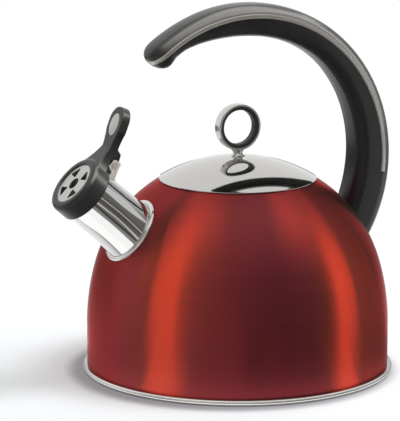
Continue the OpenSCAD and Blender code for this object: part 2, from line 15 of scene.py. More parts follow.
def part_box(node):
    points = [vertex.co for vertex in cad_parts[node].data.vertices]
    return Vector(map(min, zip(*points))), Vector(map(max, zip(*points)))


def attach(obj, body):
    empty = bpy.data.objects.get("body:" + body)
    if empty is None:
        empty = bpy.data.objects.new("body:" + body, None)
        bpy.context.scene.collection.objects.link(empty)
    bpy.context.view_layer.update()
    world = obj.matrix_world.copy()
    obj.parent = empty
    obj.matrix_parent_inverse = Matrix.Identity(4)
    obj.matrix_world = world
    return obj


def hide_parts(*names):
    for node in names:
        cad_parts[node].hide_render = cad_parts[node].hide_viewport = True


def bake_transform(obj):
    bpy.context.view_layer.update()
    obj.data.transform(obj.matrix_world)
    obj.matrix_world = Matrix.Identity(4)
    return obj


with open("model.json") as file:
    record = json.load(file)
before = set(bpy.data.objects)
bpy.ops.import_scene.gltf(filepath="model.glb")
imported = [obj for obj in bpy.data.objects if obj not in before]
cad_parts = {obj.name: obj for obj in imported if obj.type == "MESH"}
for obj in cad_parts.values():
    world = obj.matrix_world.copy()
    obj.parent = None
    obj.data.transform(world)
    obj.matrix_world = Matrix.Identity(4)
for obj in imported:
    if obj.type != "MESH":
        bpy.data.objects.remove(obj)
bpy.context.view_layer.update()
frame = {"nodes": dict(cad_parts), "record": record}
NODES = frame["nodes"]
MM = 0.001
SHARP = 32                                      # degrees between faces, from which an edge stays crisp
HAIR = 0.02                                     # the gap between pieces that lie on each other

# ---------- sizes that the looks share with the CAD model ----------

BASE_Z = 4.0                                    # the foot of the body's sheet, on the rolled seam
BODY_R, WALL_TOP = 106.9, 33.0                  # the upright wall
FLANK_R, FLANK_ANGLE = 158.0, radians(15.8)     # the arc above the wall, and where it ends
SHOULDER_R = 101.7                              # the arc of the shoulder and the crown
BODY_T = 0.8
MOUTH_R, LIP_R, LEDGE_DEPTH = 46.0, 50.5, 3.0   # the mouth in the ledge, and the low wall around the ledge
FLANK_C = (BODY_R - FLANK_R, WALL_TOP)
SHOULDER_C = (FLANK_C[0] + (FLANK_R - SHOULDER_R) * cos(FLANK_ANGLE),
              FLANK_C[1] + (FLANK_R - SHOULDER_R) * sin(FLANK_ANGLE))
SEAM_R, PLATE_T = 110.0, 0.8                    # the rolled seam, and the bottom plate that it holds
LID_R, LID_RISE, LID_T = 55.7, 15.5, 0.8
LID_SPHERE = (LID_R ** 2 + LID_RISE ** 2) / (2 * LID_RISE)
LID_HOLE_R = 2.2                                # the hole for the knob's screw
SKIRT_R, SKIRT_T = LIP_R - 0.7, 0.8
KNOB_R, KNOB_T, KNOB_DEPTH, LINER_T = 16.5, 1.7, 8.0, 2.7
NECK_H, NECK_R, NECK_FOOT, NECK_HEAD = 4.3, 3.3, 2.6, 4.6   # the last two: how far it widens down and up
SPOUT_ANGLE, SEAT_ANGLE = radians(41.5), radians(35.7)
SPOUT_LEN, SPOUT_R, SPOUT_TAPER, SPOUT_T = 44.8, 19.6, 0.01, 0.8
SPOUT_PAST = 16                                 # how far the tube's outline runs on below its seat
FLARE_TOP, FLARE_SPAN, FLARE = 24.0, 28.0, 1.595   # where the foot's flare ends, its length and its spread
COLLAR_R, COLLAR_BEAD = 24.3, 2.0
CAP_R = SPOUT_R + 2.1
LEVER_KNEE, LEVER_UP, LEVER_TILT = CAP_R + 6.3, 4.3, radians(-20)   # where the thumb lever bends away
INLAY_AT, INLAY_LONG, INLAY_WIDE = 50.5, 8.0, 6.0
GRIP_R, GRIP_W, TRIM_W = 106.3, 13.5, 3.2
GRIP_PAST = 3.9                                 # how far the grip's circle passes the wall
GRIP_ABOVE = 10.4                               # and how far its centre lies above the lid's edge


def shoulder_z(r):
    """Height of the body's outer surface at a radius, on the shoulder curve."""
    return SHOULDER_C[1] + sqrt(SHOULDER_R ** 2 - (r - SHOULDER_C[0]) ** 2)


LEDGE_Z = shoulder_z(LIP_R) - LEDGE_DEPTH
lid_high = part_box("lid_dome")[1].z / MM         # the edge of the screw's hole
LID_TOP = lid_high + LID_SPHERE - sqrt(LID_SPHERE ** 2 - LID_HOLE_R ** 2)   # the crown, if it had no hole
LID_C = LID_TOP - LID_SPHERE
RING_Z = LID_TOP + NECK_H + KNOB_R
SEAT = (SHOULDER_C[0] + SHOULDER_R * cos(SEAT_ANGLE), SHOULDER_C[1] + SHOULDER_R * sin(SEAT_ANGLE))
SPOUT_TIP = (-SEAT[0] - SPOUT_LEN * cos(SPOUT_ANGLE), SEAT[1] + SPOUT_LEN * sin(SPOUT_ANGLE))
GRIP_C = (BODY_R + GRIP_PAST - GRIP_R, shoulder_z(LID_R) + GRIP_ABOVE)
# the frames of the spout and of its seat: local X points up across the spout, local Z out of its mouth
AT_SPOUT = Matrix.Translation((SPOUT_TIP[0], 0, SPOUT_TIP[1])) @ Matrix.Rotation(SPOUT_ANGLE - pi / 2, 4, "Y")
AT_SEAT = Matrix.Translation((-SEAT[0], 0, SEAT[1])) @ Matrix.Rotation(SEAT_ANGLE - pi / 2, 4, "Y")

# ---------- mesh helpers ----------


def add_object(name, data):
    """A new object in the scene."""
    obj = bpy.data.objects.new(name, data)
    bpy.context.scene.collection.objects.link(obj)
    return obj


def make_piece(name, verts, faces, at=None):
    """An object from points in millimetres in their own frame, smooth apart from its sharp edges."""
    mesh = bpy.data.meshes.new(name)
    mesh.from_pydata([tuple(c * MM for c in v) for v in verts], [], faces)
    tidy_mesh(mesh)
    obj = add_object(name, mesh)
    if at is not None:                          # turned in the mesh, moved as an object
        mesh.transform(at.to_3x3().to_4x4())
        obj.location = at.translation * MM
    bpy.context.view_layer.update()
    return obj


def tidy_mesh(mesh, sharp=SHARP):
    """Joins double points, turns the faces outwards and marks the sharp edges."""
    bm = bmesh.new()
    bm.from_mesh(mesh)
    bmesh.ops.remove_doubles(bm, verts=bm.verts, dist=1e-7)
    bmesh.ops.recalc_face_normals(bm, faces=bm.faces)
    for f in bm.faces:
        f.smooth = True
    for e in bm.edges:
        e.smooth = len(e.link_faces) == 2 and e.calc_face_angle(0) < radians(sharp)
    bm.to_mesh(mesh)
    bm.free()


def arc(cx, cy, r, a0, a1, n):
    """Points on a circle in n steps, angles in radians."""
    return [(cx + r * cos(a0 + (a1 - a0) * i / n), cy + r * sin(a0 + (a1 - a0) * i / n)) for i in range(n + 1)]


def rounded(corners, n):
    """A closed outline from corners (x, y, radius), each replaced by an arc of n steps."""
    out = []
    count = len(corners)
    for i, (x, y, r) in enumerate(corners):
        p = Vector((x, y))
        a = (Vector(corners[i - 1][:2]) - p).normalized()
        b = (Vector(corners[(i + 1) % count][:2]) - p).normalized()
        if r <= 0:
            out.append((x, y))
            continue
        half = a.angle(b) / 2
        centre = p + (a + b).normalized() * (r / sin(half))
        t0 = p + a * (r / sin(half) * cos(half))
        t1 = p + b * (r / sin(half) * cos(half))
        a0 = atan2(t0.y - centre.y, t0.x - centre.x)
        a1 = atan2(t1.y - centre.y, t1.x - centre.x)
        while a1 - a0 > pi:
            a1 -= 2 * pi
        while a1 - a0 < -pi:
            a1 += 2 * pi
        out += arc(centre.x, centre.y, r, a0, a1, n)
    return out


def subdivide(path, step):
    """Splits the long sides of a closed outline into parts of about a step."""
    out = []
    for i in range(len(path)):
        p, q = Vector(path[i]), Vector(path[(i + 1) % len(path)])
        parts = max(1, int((q - p).length / step + 0.5))
        out += [tuple(p.lerp(q, k / parts)) for k in range(parts)]
    return out


def revolve(name, outline, at=None, turns=160):
    """Turns a closed outline of (radius, height) about Z. Points at radius 0 meet on the axis."""
    verts, faces = [], []
    on_axis = [r < 1e-6 for r, z in outline]
    count = len(outline)
    for i in range(turns):
        a = 2 * pi * i / turns
        verts += [(max(r, 0.0) * cos(a), max(r, 0.0) * sin(a), z) for r, z in outline]
    for i in range(turns):
        j = (i + 1) % turns
        for k in range(count):
            m = (k + 1) % count
            if on_axis[k] and on_axis[m]:
                continue
            if on_axis[k]:
                faces.append((i * count + k, i * count + m, j * count + m))
            elif on_axis[m]:
                faces.append((i * count + k, i * count + m, j * count + k))
            else:
                faces.append((i * count + k, i * count + m, j * count + m, j * count + k))
    return make_piece(name, verts, faces, at)


def bands(rows, count):
    """The faces between closed rows of count points each."""
    return [(i * count + k, i * count + (k + 1) % count, (i + 1) * count + (k + 1) % count, (i + 1) * count + k)
            for i in range(rows - 1) for k in range(count)]


def sweep(name, sections):
    """Joins a row of equal closed sections into a solid with flat ends."""
    count = len(sections[0])
    verts = [p for s in sections for p in s]
    faces = bands(len(sections), count)
    faces.append(tuple(range(count)))
    faces.append(tuple(range((len(sections) - 1) * count, len(sections) * count)))
    return make_piece(name, verts, faces)


def run_modifier(obj, kind, **values):
    """Adds a modifier and keeps its result."""
    mod = obj.modifiers.new(kind, kind)
    for key, value in values.items():
        setattr(mod, key, value)
    bpy.context.view_layer.update()
    depsgraph = bpy.context.evaluated_depsgraph_get()
    mesh = bpy.data.meshes.new_from_object(obj.evaluated_get(depsgraph))
    obj.modifiers.clear()
    old = obj.data
    obj.data = mesh
    bpy.data.meshes.remove(old)


def cut(obj, cutter):
    """Cuts a piece with a cutter that is then thrown away."""
    run_modifier(obj, "BOOLEAN", object=cutter, operation="DIFFERENCE", solver="EXACT")
    bpy.data.objects.remove(cutter)
    tidy_mesh(obj.data)


def join(name, *parts):
    """One object from several."""
    bm = bmesh.new()
    for p in parts:
        p.data.transform(p.matrix_world)
        bm.from_mesh(p.data)
    mesh = bpy.data.meshes.new(name)
    bm.to_mesh(mesh)
    bm.free()
    for p in parts:
        bpy.data.objects.remove(p)
    return add_object(name, mesh)


# ---------- the body ----------


def body_profile():
    """The sheet of the body: outside from foot to lip, down to the ledge, and back along the inside."""
    crown = pi / 2 - asin((LIP_R + 1.0 - SHOULDER_C[0]) / SHOULDER_R)
    foot = BASE_Z + HAIR
    outer = [(BODY_R, z) for z in (foot, 10, 16, 22, 28)]
    outer += arc(*FLANK_C, FLANK_R, 0, FLANK_ANGLE, 30)
    outer += arc(*SHOULDER_C, SHOULDER_R, FLANK_ANGLE, crown, 60)[1:]
    top = shoulder_z(LIP_R)
    roll, bend, edge = 0.75, 0.3, 0.4           # roundings of the lip, the ledge's corner and the mouth's edge
    lip = arc(LIP_R + roll, top - 0.45, roll, pi / 2 - 0.45, pi, 6)
    ledge = [(LIP_R, top - 1.2), (LIP_R, LEDGE_Z + bend), (LIP_R - bend, LEDGE_Z), (MOUTH_R + 2, LEDGE_Z),
             (MOUTH_R + edge, LEDGE_Z), (MOUTH_R, LEDGE_Z - edge), (MOUTH_R + edge, LEDGE_Z - BODY_T),
             (LIP_R + BODY_T - bend, LEDGE_Z - BODY_T), (LIP_R + BODY_T, LEDGE_Z - BODY_T + bend)]
    inner_crown = pi / 2 - asin((LIP_R + BODY_T - SHOULDER_C[0]) / (SHOULDER_R - BODY_T))
    inner = arc(*SHOULDER_C, SHOULDER_R - BODY_T, inner_crown, FLANK_ANGLE, 40)
    inner += arc(*FLANK_C, FLANK_R - BODY_T, FLANK_ANGLE, 0, 12)[1:]
    return outer + lip + ledge + inner + [(BODY_R - BODY_T, foot)]


def spout_outline(sheet):
    """The spout's tube from foot to rim as (radius, height) on its own axis, this far inside its skin."""
    start, top, steps = -SPOUT_LEN - SPOUT_PAST, FLARE_TOP - SPOUT_LEN, 24
    points = []
    for i in range(steps + 1):                  # the flared foot, as a soft curve
        z = start + (top - start) * i / steps
        t = max(0.0, (top - z) / FLARE_SPAN)
        points.append((SPOUT_R - SPOUT_TAPER * z - sheet + FLARE * t ** 2.4, z))
    points += [(SPOUT_R - SPOUT_TAPER * z - sheet, z) for z in (-15, -10, -4)]
    return points + [(SPOUT_R - sheet, 0.0)]


spout_outer, spout_inner = spout_outline(0.0), spout_outline(SPOUT_T)
body = revolve("body_dome", body_profile(), turns=240)
cut(body, revolve("hole", [(0, -SPOUT_LEN - SPOUT_PAST)] + spout_outer + [(0, 0)], AT_SPOUT, turns=96))

# out under the bottom plate, round the roll with its step, and back over the plate
seam = [(0, BASE_Z - PLATE_T, 0), (SEAM_R - 5.0, BASE_Z - PLATE_T, 0.2), (SEAM_R - 5.2, 0.9, 0.3),
        (SEAM_R - 3.4, HAIR, 0.6), (SEAM_R, HAIR, 1.35), (SEAM_R, 2.95, 1.1), (SEAM_R - 0.75, 2.98, 0.12),
        (SEAM_R - 0.7, BASE_Z, 0.45), (SEAM_R - 3.4, BASE_Z, 0.3), (SEAM_R - 4.0, BASE_Z - HAIR, 0.1),
        (0, BASE_Z - HAIR, 0)]
rim = revolve("rim_seam", subdivide(rounded(seam, 5), 6), turns=240)

# ---------- the lid and its ring knob ----------


def lid_profile():
    """The polished lid: crown, rolled edge and underside."""
    roll_r = 0.42                               # the edge is rolled under
    edge = asin((LID_R - 0.5) / LID_SPHERE)
    top = [(LID_SPHERE * sin(edge * i / 44), LID_C + LID_SPHERE * cos(edge * i / 44)) for i in range(45)]
    roll = arc(top[-1][0] - 0.02, top[-1][1] - roll_r, roll_r, pi / 2 - edge, -pi / 2 - edge, 8)[1:]
    inner_r = LID_SPHERE - LID_T
    under_edge = asin((LID_R - 1.6) / inner_r)
    under = [(inner_r * sin(under_edge * (1 - i / 20)), LID_C + inner_r * cos(under_edge * (1 - i / 20)))
             for i in range(21)]
    return [(0.0, top[0][1])] + top[1:] + roll + under[:-1] + [(0.0, under[-1][1])]


def under_lid(r):
    """Height of the lid's underside at a radius, and a little into the sheet."""
    return LID_C + sqrt((LID_SPHERE - LID_T) ** 2 - r ** 2) + 0.1


lid = revolve("lid_cap", lid_profile(), turns=240)
skirt = revolve("lid_skirt_ring", rounded([
    (SKIRT_R - SKIRT_T, LEDGE_Z + HAIR, 0.3), (SKIRT_R, LEDGE_Z + HAIR, 0.3), (SKIRT_R, under_lid(SKIRT_R), 0.05),
    (SKIRT_R - SKIRT_T, under_lid(SKIRT_R - SKIRT_T), 0.05)], 3))

AT_RING = Matrix.Translation((0, 0, RING_Z)) @ Matrix.Rotation(pi / 2, 4, "X")
KNOB_HALF = KNOB_DEPTH / 2
ring = revolve("ring", subdivide(rounded([      # its outside is barely crowned
    (KNOB_R - KNOB_T, -KNOB_HALF, 0.3), (KNOB_R - 0.35, -KNOB_HALF, 0.6), (KNOB_R, 0, 20),
    (KNOB_R - 0.35, KNOB_HALF, 0.6), (KNOB_R - KNOB_T, KNOB_HALF, 0.3)], 6), 1.0), AT_RING, turns=144)


def neck_section(z):
    """Half width of the knob's neck across the ring, at a height above the lid's crown."""
    t = z / NECK_H
    foot = NECK_FOOT * max(0.0, 1 - t / 0.55) ** 2.2
    head = NECK_HEAD * max(0.0, (t - 0.45) / 1.05) ** 2.0
    return NECK_R + foot + head


def neck():
    """The neck, round at its foot and flattened towards the ring's depth at its head."""
    sections = []
    steps, below, above = 24, 1.2, 3.4          # it runs a little into the lid and into the ring
    for i in range(steps + 1):
        z = -below + (NECK_H + below + above) * i / steps
        wide = neck_section(min(max(z, 0), NECK_H * 1.5))
        deep = min(NECK_R - 0.1 + 2.4 * max(0.0, 1 - z / NECK_H / 0.5) ** 2.2, KNOB_HALF - 0.15)
        sections.append([(wide * cos(a), deep * sin(a), LID_TOP + z)
                         for a in [2 * pi * k / 48 for k in range(48)]])
    return sweep("neck", sections)


knob = join("knob_loop", ring, neck())
liner_r = KNOB_R - KNOB_T
liner = revolve("knob_grip_liner", subdivide(rounded([
    (liner_r - LINER_T, -KNOB_HALF + 0.9, 1.1), (liner_r + 0.05, -KNOB_HALF + 0.25, 0.5),
    (liner_r + 0.05, KNOB_HALF - 0.25, 0.5), (liner_r - LINER_T, KNOB_HALF - 0.9, 1.1)], 5), 1.0), AT_RING, turns=144)

# ---------- the spout ----------

tip_r = 0.25                                    # the soft edges of its mouth
spout = revolve("spout_pipe", subdivide(
    spout_outer[:-1] + arc(SPOUT_R - tip_r, -tip_r, tip_r, 0, pi / 2, 3)
    + arc(SPOUT_R - SPOUT_T + tip_r, -tip_r, tip_r, pi / 2, pi, 3) + spout_inner[-2::-1], 3), AT_SPOUT)
inside_r = SHOULDER_R - 0.9                     # the spout ends just inside the body's sheet
inside = revolve("inside", [(0, -40)] + arc(*SHOULDER_C, inside_r, radians(-30), radians(90), 30)
                 + [(0, SHOULDER_C[1] + inside_r)])
cut(spout, inside)
sag = SHOULDER_R - sqrt(SHOULDER_R ** 2 - (COLLAR_R - COLLAR_BEAD) ** 2)   # how far the dome falls away under it
bead = arc(COLLAR_R - COLLAR_BEAD, -sag, COLLAR_BEAD, -pi / 2, radians(130), 28)
collar_in = SPOUT_R + 0.8                       # its inner face runs into the spout's flare
collar = revolve("spout_bead", bead + [(collar_in, 1.35 - sag), (collar_in, -1.6 - sag)], AT_SEAT)

# ---------- the handle ----------

TRIM_PROUD = 0.4                                # how far the bright strip stands out of the shells
FOOT_ANGLE, TRIM_FROM, TIP_ANGLE = -42.0, -6.5, 133.4   # degrees round the grip's centre, from +X upwards
FINE_FROM, EVEN, FINE = 118, 110, 36            # the stations: even up to an angle, then closer and closer together
TIP_WIDE, TIP_POWER = 13.0, 2.3                 # how the free end is rounded, seen from above
TIP_BACK, TIP_PALM = 10.5, 9.6                  # and seen from the side, on the back and on the palm
BACK_EDGE, PALM_EDGE = 8.6, 8.2                 # radius of the long edges of both shells
# the palm side of the grip and its back, as (angle round the grip's centre, radius)
PALM = [(-45, 86.7), (-15, 86.2), (9, 87.4), (33, 89.5), (57, 91.2), (72, 91.2), (87, 91.6), (99, 93.0), (108, 94.9),
        (115, 96.8), (121, 98.0), (124.5, 98.0), (127, 97.0), (129, 96.2), (131, 96.0), (136, 96.0)]
CROWN = [(-45, 114.1), (36, 114.1), (57, 114.15), (70, 114.15), (84, 114.1), (100, 114.0), (118, 113.7), (136, 114.1)]


def along(stations, t):
    """A smooth curve through stations, without overshoot between them."""
    for i in range(len(stations) - 1):
        (t0, v0), (t1, v1) = stations[i], stations[i + 1]
        if t <= t1 or i == len(stations) - 2:
            def slope(k):                       # level where the values turn, and at both ends
                if k <= 0 or k >= len(stations) - 1:
                    return 0.0
                a = (stations[k][1] - stations[k - 1][1]) / (stations[k][0] - stations[k - 1][0])
                b = (stations[k + 1][1] - stations[k][1]) / (stations[k + 1][0] - stations[k][0])
                return 0.0 if a * b <= 0 else 2 * a * b / (a + b)
            h = t1 - t0
            u = min(max((t - t0) / h, 0.0), 1.0)
            return ((1 + 2 * u) * (1 - u) ** 2 * v0 + u * (1 - u) ** 2 * h * slope(i)
                    + u * u * (3 - 2 * u) * v1 + u * u * (u - 1) * h * slope(i + 1))


def end_shape(t, reach, power, extra=0.0):
    """How full the grip still is near its free end: 1 away from it, 0 at the end."""
    left = radians(TIP_ANGLE - t) * GRIP_R + extra
    if left >= reach:
        return 1.0
    return max(0.0, 1 - (1 - max(left, 0.0) / reach) ** power) ** (1 / power)


def grip_point(t, r, y):
    """A point by its angle and radius round the grip's centre, and its place across the grip."""
    a = radians(t)
    return (GRIP_C[0] + r * cos(a), y, GRIP_C[1] + r * sin(a))


def grip_angles(first, extra=0.0):
    """Stations along the grip, closer together towards the free end."""
    even = [first + (FINE_FROM - first) * i / EVEN for i in range(EVEN)]
    last = TIP_ANGLE + degrees(extra / GRIP_R)
    fine = [FINE_FROM + (last - FINE_FROM) * (1 - (1 - i / FINE) ** 2.2) for i in range(FINE)]
    return even + fine + [last - 0.004]


def mirrored(right, middle=()):
    """A closed loop of (place across, radius) from its right side and what lies between both sides."""
    return right + list(middle) + [(-y, r) for y, r in reversed(right)]


def shell_section(t, base, right, side, top, bulge, reach):
    """One shell across the grip: its right side, a slightly crowned face at top, and the left side."""
    face = [(side * (1 - 2 * i / 8), top + bulge * (1 - (1 - 2 * i / 8) ** 2)) for i in range(1, 8)]
    wide, tall = end_shape(t, TIP_WIDE, TIP_POWER), end_shape(t, reach, 2.1)
    return [grip_point(t, base + (r - base) * tall, y * wide) for y, r in mirrored(right, face)]


def parting(t, way):
    """Radius at which a shell ends, outwards (1) or inwards (-1) of the trim. Below the trim the shells meet."""
    return GRIP_R + way * (TRIM_W / 2 - 0.05) if t > TRIM_FROM else GRIP_R + 0.03


def outer_section(t):
    """The shell on the back of the grip."""
    base, top = parting(t, 1), along(CROWN, t)
    low, side = top - BACK_EDGE, GRIP_W - BACK_EDGE
    flank = arc(side, low, BACK_EDGE, asin((base - low) / BACK_EDGE), pi / 2, 16)
    lip = [(flank[0][0] - 0.35, base), (flank[0][0] - 0.08, base + 0.1)]
    return shell_section(t, base, lip + flank, side, top, 0.25, TIP_BACK)


def inner_section(t):
    """The shell on the palm side of the grip."""
    base, palm = parting(t, -1), along(PALM, t)
    side = GRIP_W - PALM_EDGE
    flank = arc(side, palm + PALM_EDGE, PALM_EDGE, 0, -pi / 2, 16)
    lip = [(GRIP_W - 0.35, base), (GRIP_W - 0.08, base - 0.1), (GRIP_W, base - 0.5)]
    return shell_section(t, base, lip + flank, side, palm, -0.3, TIP_PALM)


def trim_section(t):
    """The bright strip between the shells, softly rounded on both sides."""
    wide = (GRIP_W + TRIM_PROUD) * end_shape(t, TIP_WIDE + TRIM_PROUD, TIP_POWER, TRIM_PROUD)
    soft = 0.75                                 # how far in its sides start to round
    bulge = [(0.0, -1.0), (0.55, -0.97), (0.85, -0.8), (1.0, -0.45), (1.04, 0.0), (1.0, 0.45), (0.85, 0.8),
             (0.55, 0.97), (0.0, 1.0)]
    right = [(max(wide - soft + soft * x, 0.0), GRIP_R + TRIM_W / 2 * z) for x, z in bulge]
    return [grip_point(t, r, y) for y, r in mirrored(right)]


def dome_solid():
    """The body without its hollow, up past the foot of the grip, which it cuts."""
    outline = [(0, 1.0), (BODY_R, 1.0)] + arc(*FLANK_C, FLANK_R, 0, FLANK_ANGLE, 30)
    outline += arc(*SHOULDER_C, SHOULDER_R, FLANK_ANGLE, radians(62), 60)[1:]
    return revolve("dome_solid", outline + [(0, outline[-1][1])], turns=240)


grip_outer = sweep("grip_back", [outer_section(t) for t in grip_angles(FOOT_ANGLE)])
grip_inner = sweep("grip_palm", [inner_section(t) for t in grip_angles(FOOT_ANGLE)])
trim = sweep("grip_trim", [trim_section(t) for t in grip_angles(TRIM_FROM, TRIM_PROUD)])
cut(grip_outer, dome_solid())
cut(grip_inner, dome_solid())

# ---------- the whistle cap, its hinge and the inlay ----------


def copy_node(name, node):
    """A new object from a CAD node's mesh, with the middle of the spout's mouth as its origin."""
    mesh = NODES[node].data.copy()
    mesh.name = name
    origin = AT_SPOUT.translation * MM
    mesh.transform(Matrix.Translation(-origin))
    mesh.materials.clear()
    obj = add_object(name, mesh)
    obj.location = origin
    bm = bmesh.new()                            # the node's faces don't share their points
    bm.from_mesh(mesh)
    bmesh.ops.remove_doubles(bm, verts=bm.verts, dist=2e-6)
    bm.to_mesh(mesh)
    bm.free()
    bpy.context.view_layer.update()
    return obj


CAP_VOXEL, CAP_SOFTENED, CAP_SHARP = 0.00036, 14, 70   # the moulding's rounded edges come from smoothing
cap = copy_node("whistle_cap_moulding", "cap_housing")
run_modifier(cap, "REMESH", mode="VOXEL", voxel_size=CAP_VOXEL, use_smooth_shade=True)
run_modifier(cap, "SMOOTH", factor=0.5, iterations=CAP_SOFTENED)
tidy_mesh(cap.data, CAP_SHARP)

PLATE_BEVEL, PLATE_SHARP = 0.00018, 35
bracket = copy_node("hinge_plate", "hinge_bracket")
run_modifier(bracket, "BEVEL", width=PLATE_BEVEL, segments=2, limit_method="ANGLE", angle_limit=radians(PLATE_SHARP))
tidy_mesh(bracket.data, PLATE_SHARP)

spring = copy_node("hinge_coil", "torsion_spring")   # one leg on the bracket, the other on the cap

AT_LEVER = (AT_SPOUT @ Matrix.Translation((LEVER_KNEE, 0, LEVER_UP))
            @ Matrix.Rotation(LEVER_TILT, 4, "Y") @ Matrix.Translation((-LEVER_KNEE, 0, 0)))


def pillow(name, outline, levels, at):
    """A flat-bottomed piece whose outline shrinks towards its middle as it rises: levels of (share, height)."""
    rows = [[(x * s, y * s, z) for x, y in outline] for s, z in levels]
    verts = [p for row in rows for p in row] + [(0, 0, levels[-1][1])]
    n = len(outline)
    faces = bands(len(rows), n)
    faces += [(len(verts) - 1 - n + k, len(verts) - 1 - n + (k + 1) % n, len(verts) - 1) for k in range(n)]
    faces.append(tuple(range(n)))
    return make_piece(name, verts, faces, at)


oval = [(INLAY_LONG * cos(a), INLAY_WIDE * sin(a)) for a in [2 * pi * i / 72 for i in range(72)]]
inlay = pillow("lever_badge", oval,
               [(1, -0.6), (1, -0.02), (0.985, 0.1), (0.95, 0.17), (0.8, 0.26), (0.5, 0.35), (0.2, 0.38)],
               AT_LEVER @ Matrix.Translation((INLAY_AT, 0, 0)))

# ---------- materials ----------


class Shader:
    """A small writer for node materials."""

    def __init__(self, name, **values):
        self.mat = bpy.data.materials.new(name)
        self.mat.use_nodes = True
        self.tree = self.mat.node_tree
        self.bsdf = self.tree.nodes["Principled BSDF"]
        for key, value in values.items():
            self.set(self.bsdf, key.replace("_", " "), value)

    def set(self, node, socket, value):
        """Gives a socket a value; a colour of three parts becomes opaque."""
        if isinstance(value, (tuple, list)) and len(value) == 3 and node.inputs[socket].type == "RGBA":
            value = (*value, 1.0)
        node.inputs[socket].default_value = value

    def node(self, kind, values=(), **props):
        """A new node: values are numbers, colours or the sockets that feed it, by socket."""
        n = self.tree.nodes.new("ShaderNode" + kind)
        for key, value in props.items():
            setattr(n, key, value)
        for socket, value in dict(values).items():
            if isinstance(value, bpy.types.NodeSocket):
                self.tree.links.new(value, n.inputs[socket])
            else:
                self.set(n, socket, value)
        return n

    def link(self, out, socket):
        """Feeds a socket of the surface shader."""
        self.tree.links.new(out, self.bsdf.inputs[socket])

    def surface(self, out):
        """Makes the material show a shader other than the plain one."""
        self.tree.links.new(out, self.tree.nodes["Material Output"].inputs["Surface"])

    def coords(self):
        """The point in the piece's own frame."""
        return self.node("TexCoord").outputs["Object"]

    def math(self, op, a, b=0.0, c=0.0):
        return self.node("Math", {0: a, 1: b, 2: c}, operation=op).outputs[0]

    def ring_noise(self, along_ring, across, detail, seed=0.0):
        """Noise drawn out into rings round the object's own Z axis."""
        parts = self.node("SeparateXYZ", {0: self.coords()}).outputs
        radius = self.math("SQRT", self.math("ADD", self.math("MULTIPLY", parts[0], parts[0]),
                                             self.math("MULTIPLY", parts[1], parts[1])))
        safe = self.math("MAXIMUM", radius, 0.0005)
        x = self.math("MULTIPLY", self.math("DIVIDE", parts[0], safe), along_ring)
        y = self.math("MULTIPLY", self.math("DIVIDE", parts[1], safe), along_ring)
        vec = self.node("CombineXYZ", {0: x, 1: y, 2: self.math("MULTIPLY_ADD", radius, across, seed)}).outputs[0]
        return self.node("TexNoise", {"Vector": vec, "W": self.math("MULTIPLY", parts[2], across), "Scale": 1.0,
                                      "Detail": detail, "Roughness": 0.6}, noise_dimensions="4D").outputs[0]

    def noise(self, scale, detail, stretch=(1, 1, 1)):
        """Noise in the piece's own frame, squeezed along its axes by stretch."""
        co = self.node("Mapping", {"Vector": self.coords(), "Scale": stretch}).outputs[0]
        return self.node("TexNoise", {"Vector": co, "Scale": scale, "Detail": detail, "Roughness": 0.55}).outputs[0]

    def between(self, value, low, high):
        """The middle half of a noise, drawn out from low to high."""
        return self.node("MapRange", {0: value, 1: 0.25, 2: 0.75, 3: low, 4: high}).outputs[0]

    def fade(self, value, start, end):
        """0 up to start, 1 from end, soft between them."""
        return self.node("MapRange", {0: value, 1: start, 2: end, 3: 0.0, 4: 1.0},
                         interpolation_type="SMOOTHSTEP").outputs[0]

    def length(self, vector):
        return self.node("VectorMath", {0: vector}, operation="LENGTH").outputs["Value"]

    def glow(self, strength, color=(1, 1, 1)):
        return self.node("Emission", {"Color": color, "Strength": strength}).outputs[0]

    def tint(self, value, dark, light, start=0.3, end=0.7):
        """A colour between dark and light by a value."""
        ramp = self.node("ValToRGB", {0: value})
        ramp.color_ramp.elements[0].position, ramp.color_ramp.elements[1].position = start, end
        ramp.color_ramp.elements[0].color = (*dark, 1)
        ramp.color_ramp.elements[1].color = (*light, 1)
        return ramp.outputs[0]

    def bump(self, value, strength, distance):
        n = self.node("Bump", {"Height": value, "Strength": strength, "Distance": distance})
        self.link(n.outputs[0], "Normal")

    def radial_tangent(self):
        """Stretches the reflections as a surface brushed round its axis does."""
        self.link(self.node("Tangent", direction_type="RADIAL", axis="Z").outputs[0], "Tangent")


def red_lacquer():
    """Clear red lacquer over steel that is brushed round the body."""
    s = Shader("red_lacquer", Metallic=1.0, Anisotropic=1.0, Anisotropic_Rotation=0.25, Coat_Weight=0.42,
               Coat_Roughness=0.55, Specular_Tint=(0.8, 0.25, 0.25))
    fine = s.ring_noise(2.2, 1500.0, 2.0)
    broad = s.ring_noise(1.6, 260.0, 4.0, 7.0)
    both = s.math("MULTIPLY_ADD", fine, 0.55, s.math("MULTIPLY", broad, 0.45))
    s.link(s.tint(both, (0.182, 0.0125, 0.0185), (0.222, 0.0160, 0.0225)), "Base Color")
    s.link(s.between(both, 0.27, 0.34), "Roughness")
    s.bump(both, 0.12, 0.00006)
    s.radial_tangent()
    return s.mat


def shade(color, factor):
    """A colour, darker or lighter."""
    return tuple(c * factor for c in color)


def polished(name, color, rough, wave):
    """Polished steel: faint smudges, very slight waves in the sheet."""
    s = Shader(name, Metallic=1.0)
    smudge = s.noise(38.0, 5.0)
    s.link(s.tint(smudge, shade(color, 0.98), color), "Base Color")
    s.link(s.between(smudge, rough * 0.75, rough * 1.6), "Roughness")
    s.bump(s.noise(55.0, 2.0), wave, 0.0004)
    return s.mat


